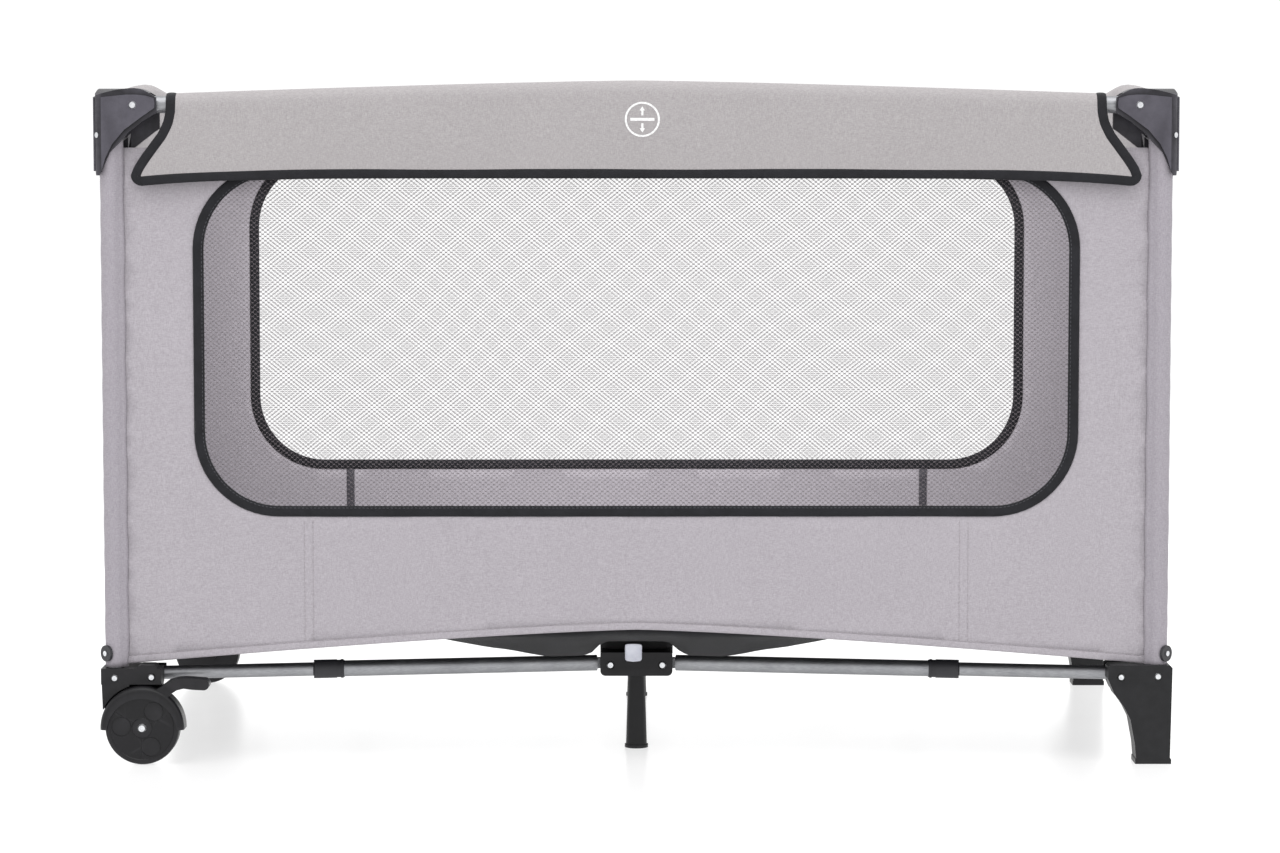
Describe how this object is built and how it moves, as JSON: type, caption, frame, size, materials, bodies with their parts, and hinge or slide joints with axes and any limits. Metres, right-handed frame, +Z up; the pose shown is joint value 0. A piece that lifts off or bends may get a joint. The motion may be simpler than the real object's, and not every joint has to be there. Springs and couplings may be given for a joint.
{
  "type": "folding playpen",
  "caption": "Rectangular folding playpen with padded rails, mesh windows in fabric sides, wheels at one end, feet at the other and a quilted base mat.",
  "frame": {"origin": "on the floor at the middle of the playpen", "axes": "+X along the long side towards the end with the feet, +Y from the front to the rear, +Z up"},
  "size_m": [1.2588, 0.6674, 0.795],
  "materials": {
    "tube_steel": "satin grey tube",
    "bolt_steel": "zinc plated",
    "housing_plastic": "fine grain",
    "black_plastic": "fine grain",
    "wheel_plastic": "smooth satin",
    "side_fabric": "melange polyester",
    "floor_cloth": "plain weave",
    "mattress_cloth": "quilted polyester",
    "webbing": "woven webbing"
  },
  "bodies": {
    "leg_front_left": {"post_front_left": "tube_steel", "housing_front_left": "housing_plastic", "wheel_bracket_front": "black_plastic", "bolts_front_left": "bolt_steel", "fabric_front": "side_fabric"},
    "leg_front_right": {"post_front_right": "tube_steel", "housing_front_right": "housing_plastic", "foot_bracket_front": "black_plastic", "bolts_front_right": "bolt_steel", "fabric_right": "side_fabric"},
    "leg_rear_right": {"post_rear_right": "tube_steel", "housing_rear_right": "housing_plastic", "foot_bracket_rear": "black_plastic", "bolts_rear_right": "bolt_steel", "fabric_rear": "side_fabric"},
    "leg_rear_left": {"post_rear_left": "tube_steel", "housing_rear_left": "housing_plastic", "wheel_bracket_rear": "black_plastic", "bolts_rear_left": "bolt_steel", "fabric_left": "side_fabric"},
    "rail_front_left_body": {"rail_front_left": "tube_steel"},
    "rail_front_right_body": {"rail_front_right": "tube_steel"},
    "rail_rear_left_body": {"rail_rear_left": "tube_steel"},
    "rail_rear_right_body": {"rail_rear_right": "tube_steel"},
    "rail_left_front_body": {"rail_left_front": "tube_steel"},
    "rail_left_rear_body": {"rail_left_rear": "tube_steel"},
    "rail_right_front_body": {"rail_right_front": "tube_steel"},
    "rail_right_rear_body": {"rail_right_rear": "tube_steel"},
    "latch_front_body": {"latch_front": "black_plastic"},
    "latch_rear_body": {"latch_rear": "black_plastic"},
    "latch_left_body": {"latch_left": "black_plastic"},
    "latch_right_body": {"latch_right": "black_plastic"},
    "button_front_body": {"button_front": "black_plastic"},
    "button_rear_body": {"button_rear": "black_plastic"},
    "button_left_body": {"button_left": "black_plastic"},
    "button_right_body": {"button_right": "black_plastic"},
    "base_tube_front_left_body": {"base_tube_front_left": "tube_steel"},
    "base_tube_front_right_body": {"base_tube_front_right": "tube_steel"},
    "base_tube_rear_left_body": {"base_tube_rear_left": "tube_steel"},
    "base_tube_rear_right_body": {"base_tube_rear_right": "tube_steel"},
    "cross_tube_front_body": {"cross_tube_front": "tube_steel"},
    "cross_tube_rear_body": {"cross_tube_rear": "tube_steel"},
    "wheel_front_body": {"wheel_front": "wheel_plastic"},
    "wheel_rear_body": {"wheel_rear": "wheel_plastic"},
    "brake_front_body": {"brake_front": "black_plastic"},
    "brake_rear_body": {"brake_rear": "black_plastic"},
    "mattress_left_outer_body": {"mattress_left_outer": "mattress_cloth"},
    "mattress_left_inner_body": {"mattress_left_inner": "mattress_cloth"},
    "mattress_right_inner_body": {"mattress_right_inner": "mattress_cloth"},
    "mattress_right_outer_body": {"mattress_right_outer": "mattress_cloth"},
    "side_hub_front_body": {"side_hub_front": "black_plastic", "hub_foot_front": "black_plastic", "hub_bolts_front": "bolt_steel", "hub_strap": "webbing"},
    "side_hub_rear_body": {"side_hub_rear": "black_plastic", "hub_foot_rear": "black_plastic", "hub_bolts_rear": "bolt_steel"},
    "centre_hub_body": {"centre_hub": "black_plastic", "floor_fabric": "floor_cloth"}
  },
  "joints": [
    {"name": "frame_fold", "type": "hinge", "parent": "leg_front_left", "child": "rail_front_left_body", "pos_m": [-0.58, -0.3075, 0.7665], "axis": [0, 1, 0], "range_deg": [0, 85], "deforming": ["fabric_front", "fabric_rear", "fabric_left", "fabric_right", "floor_fabric", "mattress_left_outer", "mattress_left_inner", "mattress_right_inner", "mattress_right_outer"]},
    {"name": "latch_front_hinge", "type": "hinge", "parent": "rail_front_left_body", "child": "latch_front_body", "pos_m": [-0.0435, -0.3075, 0.7665], "axis": [0, -1, 0], "range_deg": [0, 85]},
    {"name": "rail_front_right_hinge", "type": "hinge", "parent": "latch_front_body", "child": "rail_front_right_body", "pos_m": [0.0435, -0.3075, 0.7665], "axis": [0, -1, 0], "range_deg": [0, 85]},
    {"name": "leg_front_right_hinge", "type": "hinge", "parent": "rail_front_right_body", "child": "leg_front_right", "pos_m": [0.58, -0.3075, 0.7665], "axis": [0, 1, 0], "range_deg": [0, 85]},
    {"name": "rail_right_front_hinge", "type": "hinge", "parent": "leg_front_right", "child": "rail_right_front_body", "pos_m": [0.609, -0.2785, 0.7665], "axis": [-1, 0, 0], "range_deg": [0, 85]},
    {"name": "latch_right_hinge", "type": "hinge", "parent": "rail_right_front_body", "child": "latch_right_body", "pos_m": [0.609, -0.0435, 0.7665], "axis": [1, 0, 0], "range_deg": [0, 85]},
    {"name": "rail_right_rear_hinge", "type": "hinge", "parent": "latch_right_body", "child": "rail_right_rear_body", "pos_m": [0.609, 0.0435, 0.7665], "axis": [1, 0, 0], "range_deg": [0, 85]},
    {"name": "leg_rear_right_hinge", "type": "hinge", "parent": "rail_right_rear_body", "child": "leg_rear_right", "pos_m": [0.609, 0.2785, 0.7665], "axis": [-1, 0, 0], "range_deg": [0, 85]},
    {"name": "rail_left_front_hinge", "type": "hinge", "parent": "leg_front_left", "child": "rail_left_front_body", "pos_m": [-0.609, -0.2785, 0.7665], "axis": [-1, 0, 0], "range_deg": [0, 85]},
    {"name": "latch_left_hinge", "type": "hinge", "parent": "rail_left_front_body", "child": "latch_left_body", "pos_m": [-0.609, -0.0435, 0.7665], "axis": [1, 0, 0], "range_deg": [0, 85]},
    {"name": "rail_left_rear_hinge", "type": "hinge", "parent": "latch_left_body", "child": "rail_left_rear_body", "pos_m": [-0.609, 0.0435, 0.7665], "axis": [1, 0, 0], "range_deg": [0, 85]},
    {"name": "leg_rear_left_hinge", "type": "hinge", "parent": "rail_left_rear_body", "child": "leg_rear_left", "pos_m": [-0.609, 0.2785, 0.7665], "axis": [-1, 0, 0], "range_deg": [0, 85]},
    {"name": "rail_rear_left_hinge", "type": "hinge", "parent": "leg_rear_left", "child": "rail_rear_left_body", "pos_m": [-0.58, 0.3075, 0.7665], "axis": [0, 1, 0], "range_deg": [0, 85]},
    {"name": "latch_rear_hinge", "type": "hinge", "parent": "rail_rear_left_body", "child": "latch_rear_body", "pos_m": [-0.0435, 0.3075, 0.7665], "axis": [0, -1, 0], "range_deg": [0, 85]},
    {"name": "rail_rear_right_hinge", "type": "hinge", "parent": "latch_rear_body", "child": "rail_rear_right_body", "pos_m": [0.0435, 0.3075, 0.7665], "axis": [0, -1, 0], "range_deg": [0, 85]},
    {"name": "base_tube_front_left_hinge", "type": "hinge", "parent": "leg_front_left", "child": "base_tube_front_left_body", "pos_m": [-0.5712, -0.2875, 0.102], "axis": [0.1556, -0.9878, 0], "range_deg": [0, 85]},
    {"name": "side_hub_front_hinge", "type": "hinge", "parent": "base_tube_front_left_body", "child": "side_hub_front_body", "pos_m": [-0.0347, -0.203, 0.102], "axis": [-0.1556, 0.9878, 0], "range_deg": [0, 85]},
    {"name": "base_tube_front_right_hinge", "type": "hinge", "parent": "side_hub_front_body", "child": "base_tube_front_right_body", "pos_m": [0.0347, -0.203, 0.102], "axis": [0.1556, 0.9878, 0], "range_deg": [0, 85]},
    {"name": "base_tube_rear_left_hinge", "type": "hinge", "parent": "leg_rear_left", "child": "base_tube_rear_left_body", "pos_m": [-0.5712, 0.2875, 0.102], "axis": [-0.1556, -0.9878, 0], "range_deg": [0, 85]},
    {"name": "side_hub_rear_hinge", "type": "hinge", "parent": "base_tube_rear_left_body", "child": "side_hub_rear_body", "pos_m": [-0.0347, 0.203, 0.102], "axis": [0.1556, 0.9878, 0], "range_deg": [0, 85]},
    {"name": "base_tube_rear_right_hinge", "type": "hinge", "parent": "side_hub_rear_body", "child": "base_tube_rear_right_body", "pos_m": [0.0347, 0.203, 0.102], "axis": [-0.1556, 0.9878, 0], "range_deg": [0, 85]},
    {"name": "cross_tube_front_hinge", "type": "hinge", "parent": "side_hub_front_body", "child": "cross_tube_front_body", "pos_m": [0, -0.178, 0.102], "axis": [1, 0, 0], "range_deg": [0, 85]},
    {"name": "centre_hub_hinge", "type": "hinge", "parent": "cross_tube_front_body", "child": "centre_hub_body", "pos_m": [0, -0.0275, 0.102], "axis": [-1, 0, 0], "range_deg": [0, 85]},
    {"name": "cross_tube_rear_hinge", "type": "hinge", "parent": "centre_hub_body", "child": "cross_tube_rear_body", "pos_m": [0, 0.0275, 0.102], "axis": [-1, 0, 0], "range_deg": [0, 85]},
    {"name": "mattress_right_inner_hinge", "type": "hinge", "parent": "centre_hub_body", "child": "mattress_right_inner_body", "pos_m": [0, 0, 0.172], "axis": [0, -1, 0], "range_deg": [0, 85]},
    {"name": "mattress_left_inner_hinge", "type": "hinge", "parent": "centre_hub_body", "child": "mattress_left_inner_body", "pos_m": [0, 0, 0.172], "axis": [0, 1, 0], "range_deg": [0, 85]},
    {"name": "mattress_right_outer_hinge", "type": "hinge", "parent": "mattress_right_inner_body", "child": "mattress_right_outer_body", "pos_m": [0.29875, 0, 0.15], "axis": [0, 1, 0], "range_deg": [0, 170]},
    {"name": "mattress_left_outer_hinge", "type": "hinge", "parent": "mattress_left_inner_body", "child": "mattress_left_outer_body", "pos_m": [-0.29875, 0, 0.15], "axis": [0, -1, 0], "range_deg": [0, 170]},
    {"name": "wheel_front_spin", "type": "hinge", "parent": "leg_front_left", "child": "wheel_front_body", "pos_m": [-0.576, -0.319, 0.043], "axis": [0, 1, 0], "continuous": true},
    {"name": "brake_front_press", "type": "hinge", "parent": "leg_front_left", "child": "brake_front_body", "pos_m": [-0.576, -0.319, 0.043], "axis": [0, 1, 0], "range_deg": [0, 12]},
    {"name": "wheel_rear_spin", "type": "hinge", "parent": "leg_rear_left", "child": "wheel_rear_body", "pos_m": [-0.576, 0.319, 0.043], "axis": [0, 1, 0], "continuous": true},
    {"name": "brake_rear_press", "type": "hinge", "parent": "leg_rear_left", "child": "brake_rear_body", "pos_m": [-0.576, 0.319, 0.043], "axis": [0, 1, 0], "range_deg": [0, 12]},
    {"name": "button_front_press", "type": "slide", "parent": "latch_front_body", "child": "button_front_body", "axis": [0, 1, 0], "range_m": [0, 0.005], "stiffness_N_per_m": 500, "springref_m": -0.004},
    {"name": "button_rear_press", "type": "slide", "parent": "latch_rear_body", "child": "button_rear_body", "axis": [0, -1, 0], "range_m": [0, 0.005], "stiffness_N_per_m": 500, "springref_m": -0.004},
    {"name": "button_left_press", "type": "slide", "parent": "latch_left_body", "child": "button_left_body", "axis": [1, 0, 0], "range_m": [0, 0.005], "stiffness_N_per_m": 500, "springref_m": -0.004},
    {"name": "button_right_press", "type": "slide", "parent": "latch_right_body", "child": "button_right_body", "axis": [-1, 0, 0], "range_m": [0, 0.005], "stiffness_N_per_m": 500, "springref_m": -0.004}
  ],
  "couplings": [
    {"joint": "latch_front_hinge", "follows": "frame_fold", "ratio": 1},
    {"joint": "rail_front_right_hinge", "follows": "frame_fold", "ratio": 1},
    {"joint": "leg_front_right_hinge", "follows": "frame_fold", "ratio": 1},
    {"joint": "rail_right_front_hinge", "follows": "frame_fold", "ratio": 1},
    {"joint": "latch_right_hinge", "follows": "frame_fold", "ratio": 1},
    {"joint": "rail_right_rear_hinge", "follows": "frame_fold", "ratio": 1},
    {"joint": "leg_rear_right_hinge", "follows": "frame_fold", "ratio": 1},
    {"joint": "rail_left_front_hinge", "follows": "frame_fold", "ratio": 1},
    {"joint": "latch_left_hinge", "follows": "frame_fold", "ratio": 1},
    {"joint": "rail_left_rear_hinge", "follows": "frame_fold", "ratio": 1},
    {"joint": "leg_rear_left_hinge", "follows": "frame_fold", "ratio": 1},
    {"joint": "rail_rear_left_hinge", "follows": "frame_fold", "ratio": 1},
    {"joint": "latch_rear_hinge", "follows": "frame_fold", "ratio": 1},
    {"joint": "rail_rear_right_hinge", "follows": "frame_fold", "ratio": 1},
    {"joint": "base_tube_front_left_hinge", "follows": "frame_fold", "ratio": 1},
    {"joint": "side_hub_front_hinge", "follows": "frame_fold", "ratio": 1},
    {"joint": "base_tube_front_right_hinge", "follows": "frame_fold", "ratio": 1},
    {"joint": "base_tube_rear_left_hinge", "follows": "frame_fold", "ratio": 1},
    {"joint": "side_hub_rear_hinge", "follows": "frame_fold", "ratio": 1},
    {"joint": "base_tube_rear_right_hinge", "follows": "frame_fold", "ratio": 1},
    {"joint": "cross_tube_front_hinge", "follows": "frame_fold", "ratio": 1},
    {"joint": "centre_hub_hinge", "follows": "frame_fold", "ratio": 1},
    {"joint": "cross_tube_rear_hinge", "follows": "frame_fold", "ratio": 1},
    {"joint": "mattress_right_inner_hinge", "follows": "frame_fold", "ratio": 1},
    {"joint": "mattress_left_inner_hinge", "follows": "frame_fold", "ratio": 1},
    {"joint": "mattress_right_outer_hinge", "follows": "frame_fold", "ratio": 2},
    {"joint": "mattress_left_outer_hinge", "follows": "frame_fold", "ratio": 2}
  ]
}
